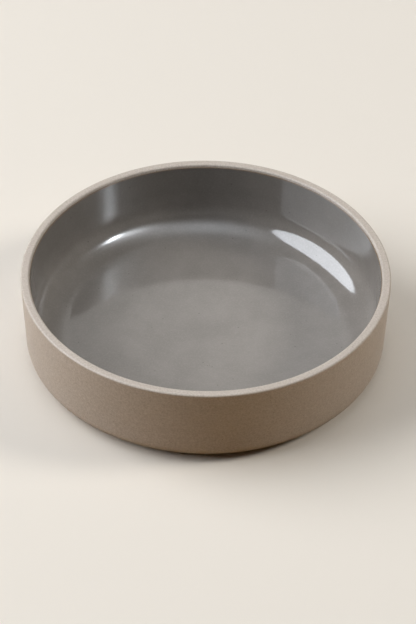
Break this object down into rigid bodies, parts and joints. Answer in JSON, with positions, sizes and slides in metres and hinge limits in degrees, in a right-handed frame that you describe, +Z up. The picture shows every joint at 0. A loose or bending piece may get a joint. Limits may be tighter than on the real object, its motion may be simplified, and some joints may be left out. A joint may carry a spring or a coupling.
{
  "type": "pasta bowl",
  "caption": "Shallow straight-sided stoneware pasta bowl with a flat bare rim, a glazed inside with a coved floor, and a recessed foot ring.",
  "frame": {"origin": "centre of the foot ring's face, on the table", "axes": "+Z up along the bowl's axis, out of its mouth; +X and +Y are any two directions across it"},
  "size_m": [0.2198, 0.2198, 0.0533],
  "materials": {
    "stoneware": "matte bare fired clay",
    "glaze": "gloss"
  },
  "bodies": {
    "root": {"stoneware_body": "stoneware", "interior_glaze": "glaze"}
  },
  "joints": []
}
